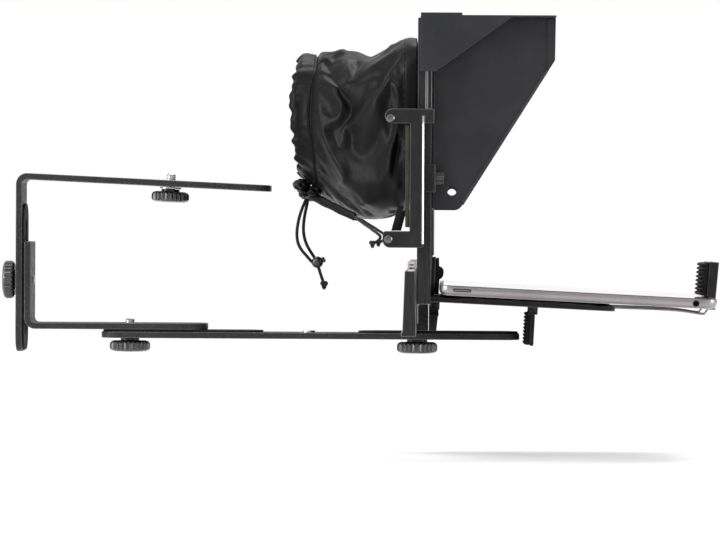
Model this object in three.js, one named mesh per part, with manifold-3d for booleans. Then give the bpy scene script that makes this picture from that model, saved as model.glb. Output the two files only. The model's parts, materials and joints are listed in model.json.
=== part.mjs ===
// Teleprompter rig for a tablet: slotted base bar, stepped camera bracket, upright frame with a
// tilting beam-splitter glass, a folded hood, a fabric lens sleeve and a sprung tablet tray.
// Millimetres, +Z up.  X runs from the camera end to the reader end, -Y is the operator's side.
// The origin is the centre of the tripod thread in the underside of the base bar.
import * as THREE from 'three';
import { mergeVertices } from 'three/addons/utils/BufferGeometryUtils.js';
import Module from 'manifold-3d';

const wasm = await Module();
wasm.setup();

// ---------------------------------------------------------------- driving dimensions
const PLATE = 4;                       // thickness of every steel plate
const PLATE_WIDTH = 32;
const PLATE_CORNER = 11;               // corner radius of the plate ends
const PAD = 1.2;                       // friction rubber on the sliding faces
const SLIDE_GAP = 0.3;                 // clearance between pieces that move on each other
const SLOT_WIDTH = 6.8;
const STUD_RADIUS = 2.9;
const TAPPED_RADIUS = 3.2;

const BAR_REAR = -131.6;               // base bar, end to end
const BAR_FRONT = 133.8;
const REAR_PAD_END = -29;
const FRONT_PAD_START = 31.6;
const SLOT_INSET = 10;                 // from the end of a pad to the end of its slot
const PAD_INSET = 8.6;

const INSERT_RADIUS = 5;               // pressed tripod thread
const INSERT_COLLAR_RADIUS = 4.2;
const INSERT_BORE = 2.6;
const INSERT_TOP = 5.2;

const RISER_BOTTOM = PLATE + PAD + SLIDE_GAP;
const RISER_LEG_X = -180;              // outer face of the short upright leg
const RISER_END = -64.3;
const RISER_TOP = 61;
const BEND_OUTER = 7;
const BEND_INNER = BEND_OUTER - PLATE;

const LEG_PAD = 1.3;
const LEG_X = RISER_LEG_X - SLIDE_GAP - LEG_PAD - PLATE;   // outer face of the tall leg
const LEG_BOTTOM = -9;
const SHELF_BEND_Z = 97.2;             // centre of the bend between leg and camera shelf
const SHELF_DROOP = THREE.MathUtils.degToRad(2.6);
const SHELF_LENGTH = 154.3;
const LEG_SLOT = [2.4, 73.8];
const LEG_PAD_TOP = 85;
const SHELF_SLOT = [25, 142];

const REAR_SCREW_X = -113.9;
const FRONT_SCREW_X = 69;
const LEG_SCREW_Z = 36.6;
const CAMERA_SCREW_S = 90.2;           // along the shelf from the centre of its bend

const KNOB_TEETH = 26;
const COLLAR_HEIGHT = 1.5;
const BASE_KNOB = { radius: 13, height: 7, collar: 6, stud: 12.2 };
const FRONT_KNOB = { radius: 13, height: 7.2, collar: 6.6, stud: 9.1 };
const LEG_KNOB = { radius: 12.1, height: 7.4, collar: 6, stud: 10.7 };
const CAMERA_KNOB = { radius: 12.1, height: 6.7, collar: 5.9, stud: 9.4 };
const WASHER = { inner: 3.3, outer: 7, height: 1 };

const FRAME_HALF = 96;                 // inner half width of the upright frame
const POST_WIDTH = 8;
const POST_X = [69.3, 78];
const POST_Z = [23.9, 199.4];
const POST_OUTER = FRAME_HALF + POST_WIDTH;
const RAIL_X = [70.2, 77];
const RAIL_HEIGHT = 7;
const TOP_RAIL_Z = 190;
const MID_RAIL_Z = 70;

const BEAM_HALF = 105;
const BEAM_X = [59.8, 69];
const BEAM_BOTTOM = 4.1;
const BEAM_TOP = 44.1;
const BEAM_FLANGE = 2.4;               // height of the beam's wider lower edge
const SHOULDER = { inner: 70, slope: 20, rise: 5.9, x: [63.6, 68.3] };
const NOTCH_HALF = PLATE_WIDTH / 2 + 0.4;   // the beam straddles the base bar
const FOOT_HALF = 15;
const FOOT_FLANGE_TOP = 9.5;

const ARM_Y = [POST_OUTER + SLIDE_GAP, 114.3];
const ARM_X = [64.8, 73.7];            // the upright part of the side bracket
const ARM_Z = [58.5, 68.6, 134.4, 143.3];   // lower arm, then upper arm
const ARM_CHAMFER = 1.5;
const SCREW_HEADS = [['upper', 52.9, 137.4], ['lower', 51.9, 63.6]];
const POST_STEP = { x: [74.2, 75.4], depth: 1.2, z: 143.8 };   // shallow step in the post's outer face
const GLASS_PIVOT = { x: 74.8, z: 101 };
const GLASS_ANGLE = THREE.MathUtils.degToRad(45);
const GLASS_HALF = 91.5;
const GLASS_REACH = 95;
const TRUNNION_RADIUS = 2;

const HOOD_REAR = 78.3;
const HOOD_INNER = 94;
const SHEET = 1.2;
const HOOD_TOP = 200.9;
const HOOD_FLAP_INNER = 105.7;

const TRAY_PIVOT = { x: 80, z: 22 };
const TRAY_SLOPE = THREE.MathUtils.degToRad(2.7);
const TRAY_TOP = 6;
const TRAY_HALF = 85;
const TRAY_FLOOR = { start: -3.4, end: 111.5, bottom: 3 };
const TABLET = { start: 2.6, length: 169.5, half: 120, bottom: 8.1, top: 14.2, corner: 9 };
const JAW_HALF = 25;
const FAR_JAW_HALF = 34;
const FOLD_PIN = { x: 62.3, z: -0.3 };
const WIRE_Y = 30;
const WIRE_RADIUS = 0.8;
const WIRE_Z = 4.5;

const CORD_RADIUS = 1;
const CORD_SIDES = 8;

// ---------------------------------------------------------------- materials
const finish = (color, roughness, metalness) => ({ color, roughness, metalness });
const FINISH = {
  plate: finish(0x2a2a2c, 0.55, 0.6),
  post: finish(0x303032, 0.5, 0.6),
  knob: finish(0x18181a, 0.45, 0.1),
  steel: finish(0x8c8c90, 0.3, 1),
  plastic: finish(0x1d1d1f, 0.55, 0),
  batten: finish(0x4a4a44, 0.6, 0),
  rubber: finish(0x151515, 0.85, 0),
  hood: finish(0x2c2e33, 0.6, 0),
  fabric: finish(0x17171a, 0.6, 0),
  cord: finish(0x141416, 0.8, 0),
  glass: finish(0xb9c4c6, 0.02, 0),
  tablet: finish(0xa9a6aa, 0.35, 0.9),
  screen: finish(0x0c0d10, 0.08, 0),
};

// ---------------------------------------------------------------- geometry helpers
const AXIS_X = new THREE.Vector3(1, 0, 0);
const AXIS_Y = new THREE.Vector3(0, 1, 0);
const AXIS_Z = new THREE.Vector3(0, 0, 1);
const REACH = 300;                     // long enough for a tool to pass through anything

function toSolid(geometry) {
  const bare = geometry.clone();
  bare.deleteAttribute('normal');
  bare.deleteAttribute('uv');
  const merged = mergeVertices(bare, 1e-4);
  const triVerts = new Uint32Array(merged.index.array);
  const vertProperties = new Float32Array(merged.attributes.position.array);
  return new wasm.Manifold(new wasm.Mesh({ numProp: 3, vertProperties, triVerts }));
}

function toGeometry(solid) {
  const mesh = solid.getMesh();
  const geometry = new THREE.BufferGeometry();
  geometry.setAttribute('position', new THREE.BufferAttribute(mesh.vertProperties, 3));
  geometry.setIndex(new THREE.BufferAttribute(mesh.triVerts, 1));
  geometry.computeVertexNormals();
  return geometry;
}

const join = (first, ...rest) => rest.reduce((sum, piece) => sum.add(piece), first);
const cut = (first, ...tools) => tools.reduce((sum, tool) => sum.subtract(tool), first);

// An outline drawn in X-Z, made solid between two Y values.
function alongY(shape, y0, y1, curveSegments = 6) {
  const geometry = new THREE.ExtrudeGeometry(shape, { depth: y1 - y0, bevelEnabled: false, curveSegments });
  geometry.applyMatrix4(new THREE.Matrix4().makeBasis(AXIS_X, AXIS_Z, AXIS_Y.clone().negate()));
  geometry.translate(0, y1, 0);
  return geometry;
}

// An outline drawn in X-Y, made solid between two Z values.
function alongZ(shape, z0, z1, curveSegments = 6) {
  const geometry = new THREE.ExtrudeGeometry(shape, { depth: z1 - z0, bevelEnabled: false, curveSegments });
  geometry.translate(0, 0, z0);
  return geometry;
}

// An outline drawn in Y-Z, made solid between two X values.
function alongX(shape, x0, x1, curveSegments = 6) {
  const geometry = new THREE.ExtrudeGeometry(shape, { depth: x1 - x0, bevelEnabled: false, curveSegments });
  geometry.applyMatrix4(new THREE.Matrix4().makeBasis(AXIS_Y, AXIS_Z, AXIS_X));
  geometry.translate(x0, 0, 0);
  return geometry;
}

function box(x0, x1, y0, y1, z0, z1) {
  const geometry = new THREE.BoxGeometry(x1 - x0, y1 - y0, z1 - z0);
  geometry.translate((x0 + x1) / 2, (y0 + y1) / 2, (z0 + z1) / 2);
  return geometry;
}

const polygon = (points) => new THREE.Shape(points.map(([u, v]) => new THREE.Vector2(u, v)));

// Corner radii in the order: low-low, high-low, high-high, low-high.
function roundedRect(u0, u1, v0, v1, radii) {
  const [a, b, c, d] = Array.isArray(radii) ? radii : [radii, radii, radii, radii];
  const shape = new THREE.Shape();
  shape.moveTo(u0 + a, v0);
  shape.lineTo(u1 - b, v0);
  if (b) shape.absarc(u1 - b, v0 + b, b, -Math.PI / 2, 0, false);
  shape.lineTo(u1, v1 - c);
  if (c) shape.absarc(u1 - c, v1 - c, c, 0, Math.PI / 2, false);
  shape.lineTo(u0 + d, v1);
  if (d) shape.absarc(u0 + d, v1 - d, d, Math.PI / 2, Math.PI, false);
  shape.lineTo(u0, v0 + a);
  if (a) shape.absarc(u0 + a, v0 + a, a, Math.PI, 1.5 * Math.PI, false);
  return shape;
}

const obround = (u0, u1, v, width) => roundedRect(u0, u1, v - width / 2, v + width / 2, width / 2 - 0.01);

function circle(u, v, radius) {
  const shape = new THREE.Shape();
  shape.absarc(u, v, radius, 0, 2 * Math.PI, false);
  return shape;
}

function rod(axis, center, radius, from, to, segments = 16) {
  const geometry = new THREE.CylinderGeometry(radius, radius, to - from, segments);
  geometry.translate(0, (from + to) / 2, 0);
  if (axis === 'z') geometry.rotateX(Math.PI / 2);
  if (axis === 'x') geometry.rotateZ(-Math.PI / 2);
  geometry.translate(...center);
  return geometry;
}

// A round outline with straight-sided teeth, for knurled rims.
function toothedOutline(tip, root, teeth) {
  const shape = new THREE.Shape();
  for (let index = 0; index < 2 * teeth; index += 1) {
    const r = index % 2 ? root : tip;
    const angle = (Math.PI * index) / teeth;
    const point = [r * Math.cos(angle), r * Math.sin(angle)];
    if (index === 0) shape.moveTo(...point);
    else shape.lineTo(...point);
  }
  return shape;
}

// ---------------------------------------------------------------- scene graph
const rig = new THREE.Group();

function add(parent, name, geometry, look) {
  const mesh = new THREE.Mesh(geometry, new THREE.MeshStandardMaterial(look));
  mesh.name = name;
  parent.add(mesh);
  return mesh;
}

const SIDES = [['left', -1], ['right', 1]];

// The same piece on the other side: the Y range is swapped end for end.
const sideRange = (side, inner, outer) => (side < 0 ? [-outer, -inner] : [inner, outer]);

// ---------------------------------------------------------------- base bar
const HALF_WIDTH = PLATE_WIDTH / 2;
const REAR_SLOT = [BAR_REAR + SLOT_INSET, REAR_PAD_END - SLOT_INSET];
const FRONT_SLOT = [FRONT_PAD_START + SLOT_INSET, BAR_FRONT - SLOT_INSET];

function slottedPad(x0, x1, slot) {
  const outline = roundedRect(x0, x1, 1 - HALF_WIDTH, HALF_WIDTH - 1, PLATE_CORNER);
  outline.holes = [obround(...slot, 0, SLOT_WIDTH)];
  return alongZ(outline, PLATE, PLATE + PAD, 5);
}


function buildBase() {
  const outline = roundedRect(BAR_REAR, BAR_FRONT, -HALF_WIDTH, HALF_WIDTH, PLATE_CORNER);
  outline.holes = [REAR_SLOT, FRONT_SLOT].map(([a, b]) => obround(a, b, 0, SLOT_WIDTH));
  const seat = rod('z', [0, 0, 0], INSERT_RADIUS + 0.1, -1, PLATE + 1, 24);
  const bar = cut(toSolid(alongZ(outline, 0, PLATE, 5)), toSolid(seat));
  add(rig, 'base_bar', toGeometry(bar), FINISH.plate);

  const rear = slottedPad(BAR_REAR + 1, REAR_PAD_END, [BAR_REAR + PAD_INSET, REAR_PAD_END - PAD_INSET]);
  add(rig, 'rear_pad', rear, FINISH.rubber);
  const front = slottedPad(FRONT_PAD_START, BAR_FRONT - 1, [FRONT_PAD_START + PAD_INSET, BAR_FRONT - PAD_INSET]);
  add(rig, 'front_pad', front, FINISH.rubber);

  const insert = [
    [INSERT_BORE + 0.5, 0],
    [INSERT_RADIUS, 0],
    [INSERT_RADIUS, PLATE],
    [INSERT_COLLAR_RADIUS, PLATE],
    [INSERT_COLLAR_RADIUS, INSERT_TOP - 0.4],
    [INSERT_COLLAR_RADIUS - 0.4, INSERT_TOP],
    [INSERT_BORE, INSERT_TOP],
    [INSERT_BORE, 0.5],
    [INSERT_BORE + 0.5, 0],
  ].map(([r, z]) => new THREE.Vector2(r, z));
  add(rig, 'tripod_insert', new THREE.LatheGeometry(insert, 20).rotateX(Math.PI / 2), FINISH.steel);
}

// ---------------------------------------------------------------- stepped camera bracket
function riserProfile() {
  const x = RISER_LEG_X;
  const z = RISER_BOTTOM;
  const shape = new THREE.Shape();
  shape.moveTo(RISER_END, z);
  shape.lineTo(x + BEND_OUTER, z);
  shape.absarc(x + BEND_OUTER, z + BEND_OUTER, BEND_OUTER, 1.5 * Math.PI, Math.PI, true);
  shape.lineTo(x, RISER_TOP);
  shape.lineTo(x + PLATE, RISER_TOP);
  shape.lineTo(x + PLATE, z + BEND_OUTER);
  shape.absarc(x + BEND_OUTER, z + BEND_OUTER, BEND_INNER, Math.PI, 1.5 * Math.PI, false);
  shape.lineTo(RISER_END, z + PLATE);
  return shape;
}

function shelfProfile() {
  const cx = LEG_X + BEND_OUTER;
  const cz = SHELF_BEND_Z;
  const along = [Math.cos(SHELF_DROOP), -Math.sin(SHELF_DROOP)];
  const up = [Math.sin(SHELF_DROOP), Math.cos(SHELF_DROOP)];
  const end = (height) => [
    cx + up[0] * height + along[0] * SHELF_LENGTH,
    cz + up[1] * height + along[1] * SHELF_LENGTH,
  ];
  const shape = new THREE.Shape();
  shape.moveTo(LEG_X, LEG_BOTTOM);
  shape.lineTo(LEG_X, cz);
  shape.absarc(cx, cz, BEND_OUTER, Math.PI, Math.PI / 2 - SHELF_DROOP, true);
  shape.lineTo(...end(BEND_OUTER));
  shape.lineTo(...end(BEND_INNER));
  shape.lineTo(cx + up[0] * BEND_INNER, cz + up[1] * BEND_INNER);
  shape.absarc(cx, cz, BEND_INNER, Math.PI / 2 - SHELF_DROOP, Math.PI, false);
  shape.lineTo(LEG_X + PLATE, LEG_BOTTOM);
  return shape;
}

// The shelf's own frame: origin at the centre of the bend, x along the shelf, z square to it.
function shelfFrame() {
  const frame = new THREE.Group();
  frame.position.set(LEG_X + BEND_OUTER, 0, SHELF_BEND_Z);
  frame.rotation.y = SHELF_DROOP;
  frame.updateMatrix();
  return frame;
}

function buildCameraBracket() {
  const riserEnds = roundedRect(RISER_LEG_X - 1, RISER_END, -HALF_WIDTH, HALF_WIDTH,
    [0, PLATE_CORNER, PLATE_CORNER, 0]);
  const riserBody = toSolid(alongY(riserProfile(), -HALF_WIDTH, HALF_WIDTH))
    .intersect(toSolid(alongZ(riserEnds, -REACH, REACH)));
  const riser = cut(riserBody,
    toSolid(rod('z', [REAR_SCREW_X, 0, 0], TAPPED_RADIUS, RISER_BOTTOM - 1, RISER_BOTTOM + PLATE + 1, 20)),
    toSolid(rod('x', [0, 0, LEG_SCREW_Z], TAPPED_RADIUS, RISER_LEG_X - 1, RISER_LEG_X + PLATE + 1, 20)));
  add(rig, 'riser_bracket', toGeometry(riser), FINISH.plate);

  const frame = shelfFrame();
  const shelfEnds = roundedRect(LEG_X - 1, LEG_X + BEND_OUTER + SHELF_LENGTH, -HALF_WIDTH, HALF_WIDTH,
    [0, PLATE_CORNER, PLATE_CORNER, 0]);
  const legEnds = roundedRect(-HALF_WIDTH, HALF_WIDTH, LEG_BOTTOM, SHELF_BEND_Z + 2 * BEND_OUTER,
    [PLATE_CORNER, PLATE_CORNER, 0, 0]);
  const shelfSlot = alongZ(obround(...SHELF_SLOT, 0, SLOT_WIDTH), 0, 2 * BEND_OUTER).applyMatrix4(frame.matrix);
  const legSlot = alongX(roundedRect(-SLOT_WIDTH / 2, SLOT_WIDTH / 2, ...LEG_SLOT, SLOT_WIDTH / 2 - 0.01),
    LEG_X - 1, LEG_X + PLATE + 1);
  const bracket = cut(
    toSolid(alongY(shelfProfile(), -HALF_WIDTH, HALF_WIDTH))
      .intersect(toSolid(alongZ(shelfEnds, -REACH, REACH)))
      .intersect(toSolid(alongX(legEnds, -REACH, REACH))),
    toSolid(shelfSlot), toSolid(legSlot));
  add(rig, 'camera_bracket', toGeometry(bracket), FINISH.plate);

  const pad = roundedRect(1 - HALF_WIDTH, HALF_WIDTH - 1, LEG_BOTTOM + 1, LEG_PAD_TOP, PLATE_CORNER);
  pad.holes = [roundedRect(-SLOT_WIDTH / 2 - 0.5, SLOT_WIDTH / 2 + 0.5, LEG_SLOT[0] - 1, LEG_SLOT[1] + 1,
    SLOT_WIDTH / 2)];
  add(rig, 'leg_pad', alongX(pad, LEG_X + PLATE, LEG_X + PLATE + LEG_PAD), FINISH.rubber);
}

// ---------------------------------------------------------------- thumbscrews
// Local frame: z = 0 is the face that the collar bears on, the stud points along +z.
function thumbscrew({ radius, height, collar, stud }) {
  const headTop = -SLIDE_GAP - COLLAR_HEIGHT;
  const headBottom = headTop - height;
  const teeth = alongZ(toothedOutline(radius, radius - 0.9, KNOB_TEETH), headBottom, headTop);
  const crown = [
    [0, headBottom],
    [radius - 2.6, headBottom],
    [radius - 0.9, headBottom + 0.7],
    [radius + 0.1, headBottom + 2.3],
    [radius + 0.1, headTop - 2.3],
    [radius - 0.9, headTop - 0.7],
    [radius - 2.6, headTop],
    [0, headTop],
  ].map(([r, z]) => new THREE.Vector2(r, z));
  const rounding = new THREE.LatheGeometry(crown, 2 * KNOB_TEETH).rotateX(Math.PI / 2);
  const head = toSolid(teeth).intersect(toSolid(rounding));
  const shaft = [
    [0, headTop - 1],
    [collar, headTop - 1],
    [collar, -SLIDE_GAP],
    [STUD_RADIUS, -SLIDE_GAP],
    [STUD_RADIUS, stud - 0.7],
    [STUD_RADIUS - 0.7, stud],
    [0, stud],
  ].map(([r, z]) => new THREE.Vector2(r, z));
  const core = new THREE.LatheGeometry(shaft, 18).rotateX(Math.PI / 2);
  const recess = rod('z', [0, 0, 0], radius * 0.62, headBottom - 1, headBottom + 1, 18);
  return toGeometry(cut(join(head, toSolid(core)), toSolid(recess)));
}

function buildThumbscrews() {
  add(rig, 'rear_thumbscrew', thumbscrew(BASE_KNOB), FINISH.knob).position.set(REAR_SCREW_X, 0, 0);
  add(rig, 'front_thumbscrew', thumbscrew(FRONT_KNOB), FINISH.knob).position.set(FRONT_SCREW_X, 0, 0);
  const leg = add(rig, 'leg_thumbscrew', thumbscrew(LEG_KNOB), FINISH.knob);
  leg.position.set(LEG_X, 0, LEG_SCREW_Z);
  leg.rotation.y = Math.PI / 2;

  const frame = shelfFrame();
  rig.add(frame);
  const washerBottom = BEND_INNER - SLIDE_GAP - WASHER.height;
  const ring = alongZ(circle(0, 0, WASHER.outer), washerBottom, BEND_INNER - SLIDE_GAP, 14);
  const washer = cut(toSolid(ring), toSolid(rod('z', [0, 0, 0], WASHER.inner, 0, BEND_INNER + 1, 20)));
  add(frame, 'camera_washer', toGeometry(washer), FINISH.steel).position.x = CAMERA_SCREW_S;
  const screw = add(frame, 'camera_thumbscrew', thumbscrew(CAMERA_KNOB), FINISH.knob);
  screw.position.set(CAMERA_SCREW_S, 0, washerBottom);
}

// ---------------------------------------------------------------- upright frame
function buildMast() {
  const foot = polygon([
    [61, RISER_BOTTOM],
    [76, RISER_BOTTOM],
    [76, 22],
    [69.6, 22],
    [69.6, FOOT_FLANGE_TOP],
    [61, FOOT_FLANGE_TOP],
  ]);
  const footHole = rod('z', [FRONT_SCREW_X, 0, 0], TAPPED_RADIUS, RISER_BOTTOM - 1, FOOT_FLANGE_TOP, 20);
  add(rig, 'mast_foot', toGeometry(cut(toSolid(alongY(foot, -FOOT_HALF, FOOT_HALF)), toSolid(footHole))),
    FINISH.plate);

  const section = polygon([
    [BEAM_X[0], BEAM_BOTTOM],
    [BEAM_X[1], BEAM_BOTTOM],
    [BEAM_X[1], BEAM_BOTTOM + BEAM_FLANGE],
    [BEAM_X[1] - 0.7, BEAM_TOP],
    [BEAM_X[0] + 2.1, BEAM_TOP],
    [BEAM_X[0] + 0.8, BEAM_BOTTOM + BEAM_FLANGE],
    [BEAM_X[0], BEAM_BOTTOM + BEAM_FLANGE],
  ]);
  const notch = box(BEAM_X[0] - 1, BEAM_X[1] + 1, -NOTCH_HALF, NOTCH_HALF, 0, FOOT_FLANGE_TOP + SLIDE_GAP);
  const shoulders = SIDES.map(([, side]) => {
    const inner = side * SHOULDER.inner;
    const outer = side * BEAM_HALF;
    const rise = polygon([
      [inner, BEAM_TOP - 1],
      [outer, BEAM_TOP - 1],
      [outer, BEAM_TOP],
      [outer - side * SHOULDER.slope, BEAM_TOP + SHOULDER.rise],
      [inner, BEAM_TOP + SHOULDER.rise],
    ]);
    return toSolid(alongX(rise, ...SHOULDER.x));
  });
  const screwHoles = SIDES.flatMap(([, side]) => [6, 13].map((inset) => (
    toSolid(rod('z', [66, side * (BEAM_HALF - inset), 0], 1.3, BEAM_TOP - 6, BEAM_TOP + 12, 10)))));
  const beam = cut(join(toSolid(alongY(section, -BEAM_HALF, BEAM_HALF)), ...shoulders),
    toSolid(notch), ...screwHoles);
  add(rig, 'cross_beam', toGeometry(beam), FINISH.post);

  const post = roundedRect(...POST_X, FRAME_HALF, POST_OUTER, 1);
  SIDES.forEach(([word, side]) => {
    const [y0, y1] = sideRange(side, FRAME_HALF, POST_OUTER);
    const blank = alongZ(post, ...POST_Z, 2).translate(0, y0 - FRAME_HALF, 0);
    const bore = rod('y', [GLASS_PIVOT.x, 0, GLASS_PIVOT.z], TRUNNION_RADIUS + SLIDE_GAP, y0 - 1, y1 + 1, 16);
    const stepFace = polygon([
      [POST_STEP.x[0], POST_OUTER + 1],
      [POST_STEP.x[0], POST_OUTER],
      [POST_STEP.x[1], POST_OUTER - POST_STEP.depth],
      [POST_X[1] + 1, POST_OUTER - POST_STEP.depth],
      [POST_X[1] + 1, POST_OUTER + 1],
    ].map(([x, y]) => [x, side * y]));
    const step = alongZ(stepFace, POST_STEP.z, POST_Z[1] + 1);
    add(rig, `post_${word}`, toGeometry(cut(toSolid(blank), toSolid(bore), toSolid(step))), FINISH.post);
  });
  const railHalf = FRAME_HALF - SLIDE_GAP;
  add(rig, 'top_rail', box(...RAIL_X, -railHalf, railHalf, TOP_RAIL_Z, TOP_RAIL_Z + RAIL_HEIGHT), FINISH.post);
  add(rig, 'mid_rail', box(...RAIL_X, -railHalf, railHalf, MID_RAIL_Z, MID_RAIL_Z + RAIL_HEIGHT), FINISH.post);
  add(rig, 'lower_flap', box(78.4, 79.2, -93, 93, 53.5, 82), FINISH.hood);
}

// C-shaped side bracket with two arms that point at the camera and hold the sleeve open.
function armProfile() {
  const [x0, x1] = ARM_X;
  const [lowBottom, lowTop, highBottom, highTop] = ARM_Z;
  const tipRadius = (highTop - highBottom) / 2;
  const corner = 2;
  const shape = new THREE.Shape();
  shape.moveTo(52.9, lowBottom);
  shape.lineTo(x1 - corner, lowBottom);
  shape.absarc(x1 - corner, lowBottom + corner, corner, -Math.PI / 2, 0, false);
  shape.lineTo(x1, highBottom);
  shape.lineTo(79.5, highBottom);
  shape.lineTo(79.5, highTop);
  shape.lineTo(53.9, highTop);
  shape.absarc(53.9, highTop - tipRadius, tipRadius, Math.PI / 2, 1.5 * Math.PI, false);
  shape.lineTo(x0, highBottom);
  shape.lineTo(x0, lowTop);
  shape.lineTo(50.4, lowTop);
  shape.absarc(50.4, lowTop - corner, corner, Math.PI / 2, Math.PI, false);
  shape.lineTo(48.4, lowBottom + 4.5);
  shape.absarc(52.9, lowBottom + 4.5, 4.5, Math.PI, 1.5 * Math.PI, false);
  return shape;
}

function domeHead(radius, height) {
  const profile = [[0, 0], [radius, 0], [radius, height * 0.35], [radius * 0.75, height * 0.8], [0, height]];
  return new THREE.LatheGeometry(profile.map(([r, z]) => new THREE.Vector2(r, z)), 14);
}

function buildSideFittings() {
  SIDES.forEach(([word, side]) => {
    const chamfer = polygon([
      [ARM_X[1] - ARM_CHAMFER, ARM_Y[1] + 0.01],
      [ARM_X[1] + 0.01, ARM_Y[1] + 0.01],
      [ARM_X[1] + 0.01, ARM_Y[1] - ARM_CHAMFER],
    ].map(([x, y]) => [x, side * y]));
    const arms = toSolid(alongY(armProfile(), ...sideRange(side, ...ARM_Y)));
    const chamferCut = toSolid(alongZ(chamfer, ARM_Z[0] + 2, ARM_Z[3] - 4));
    add(rig, `arm_bracket_${word}`, toGeometry(cut(arms, chamferCut)), FINISH.plastic);
    SCREW_HEADS.forEach(([place, x, z]) => {
      const screw = domeHead(2.6, 1.5);
      if (side < 0) screw.rotateX(Math.PI);
      add(rig, `arm_screw_${place}_${word}`, screw, FINISH.steel).position.set(x, side * (ARM_Y[1] + 0.05), z);
    });
    const [y0, y1] = sideRange(side, 105, 113);
    add(rig, `sleeve_batten_${word}`, box(62.1, 64.4, y0, y1, 71, 133.2), FINISH.batten);

    const block = polygon([
      [78.3, FRAME_HALF],
      [80.4, FRAME_HALF],
      [80.4, 107],
      [74.1, 107],
      [74.1, POST_OUTER + SLIDE_GAP],
      [78.3, POST_OUTER + SLIDE_GAP],
    ].map(([x, y]) => [x, side * y]));
    add(rig, `hinge_block_${word}`, alongZ(block, 92.5, 109.6), FINISH.plastic);
    const nut = add(rig, `glass_lock_nut_${word}`, alongX(toothedOutline(4, 3.5, 16), 0, 5), FINISH.knob);
    nut.position.set(80.7, side * 100.6, GLASS_PIVOT.z);
  });
}

// ---------------------------------------------------------------- glass
function buildGlass() {
  const frame = new THREE.Group();
  frame.position.set(GLASS_PIVOT.x, 0, GLASS_PIVOT.z);
  frame.rotation.y = -GLASS_ANGLE;
  rig.add(frame);
  const half = 2.5;
  const rim = roundedRect(-3, GLASS_REACH, -GLASS_HALF, GLASS_HALF, 3);
  rim.holes = [roundedRect(6, 87, -83.5, 83.5, 2)];
  const seat = box(2, 91.2, -87.7, 87.7, -half - 1, -0.2);
  const pins = SIDES.map(([, side]) => {
    const range = sideRange(side, GLASS_HALF - 1, POST_OUTER - 0.6);
    return toSolid(rod('y', [0, 0, 0], TRUNNION_RADIUS, ...range, 16));
  });
  const body = join(cut(toSolid(alongZ(rim, -half, half, 3)), toSolid(seat)), ...pins);
  add(frame, 'glass_frame', toGeometry(body), FINISH.plastic);
  add(frame, 'beam_splitter_glass', box(2.3, 90.9, -87.4, 87.4, -half, -0.5), FINISH.glass);
}

// ---------------------------------------------------------------- hood
function buildHood() {
  const wall = new THREE.Shape();
  wall.moveTo(HOOD_REAR, 82.5);
  wall.lineTo(92, 82.5);
  wall.quadraticCurveTo(95.6, 82.5, 97.6, 86);
  wall.lineTo(153.4, 174.2);
  wall.lineTo(153.8, HOOD_TOP - SHEET);
  wall.lineTo(HOOD_REAR, HOOD_TOP - SHEET);
  wall.holes = [circle(90.5, 93.6, 3)];
  SIDES.forEach(([word, side]) => {
    const range = sideRange(side, HOOD_INNER, HOOD_INNER + SHEET);
    add(rig, `hood_side_${word}`, alongY(wall, ...range, 5), FINISH.hood);
  });

  const outer = HOOD_FLAP_INNER + SHEET;
  const sheet = box(71, 153.8, -outer, outer, HOOD_TOP - SHEET, HOOD_TOP);
  const overlap = box(71, 96.4, -outer, outer, HOOD_TOP - 0.1, HOOD_TOP + 1.5);
  const flap = polygon([[71, HOOD_TOP - 0.5], [70.6, 166.4], [80.5, 166.4], [127.5, HOOD_TOP - 0.5]]);
  const flaps = SIDES.map(([, side]) => toSolid(alongY(flap, ...sideRange(side, HOOD_FLAP_INNER, outer))));
  add(rig, 'hood_top', toGeometry(join(toSolid(sheet), toSolid(overlap), ...flaps)), FINISH.hood);
}

// ---------------------------------------------------------------- lens sleeve and its cords
// Each station: x, centre height, half width, half height, squareness of the section.
const SLEEVE = [
  [-11.5, 141.5, 38.5, 38.5, 2],
  [-3, 136, 46, 47, 2],
  [14, 134, 58, 53, 2.3],
  [36, 132.5, 78, 55.5, 3],
  [56, 132.5, 92, 55, 4.5],
  [68.5, 132.7, 95, 54.8, 8],
];
const SLEEVE_WALL = 3;
const SLEEVE_SEGMENTS = 40;

function sleevePoint([x, centre, halfWidth, halfHeight, power], angle, inset) {
  const c = Math.abs(Math.cos(angle)) / (halfWidth - inset);
  const s = Math.abs(Math.sin(angle)) / (halfHeight - inset);
  const r = (c ** power + s ** power) ** (-1 / power);
  return [x, r * Math.cos(angle), centre + r * Math.sin(angle)];
}

function buildSleeve() {
  const stations = [
    ...SLEEVE.map((row) => ({ row, inset: SLEEVE_WALL })),
    ...SLEEVE.map((row) => ({ row, inset: 0 })).reverse(),
  ];
  stations.push(stations[0]);
  const profile = stations.map((_, index) => new THREE.Vector2(1, index));
  const geometry = new THREE.LatheGeometry(profile, SLEEVE_SEGMENTS);
  const position = geometry.attributes.position;
  const perRing = stations.length;
  for (let index = 0; index < position.count; index += 1) {
    const { row, inset } = stations[index % perRing];
    const turn = (Math.floor(index / perRing) % SLEEVE_SEGMENTS) / SLEEVE_SEGMENTS;
    position.setXYZ(index, ...sleevePoint(row, 2 * Math.PI * turn, inset));
  }
  let solid = toSolid(geometry);
  if (solid.volume() < 0) {
    geometry.index.array.reverse();
    solid = toSolid(geometry);
  }
  add(rig, 'lens_sleeve', toGeometry(solid), FINISH.fabric);
}

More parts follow.
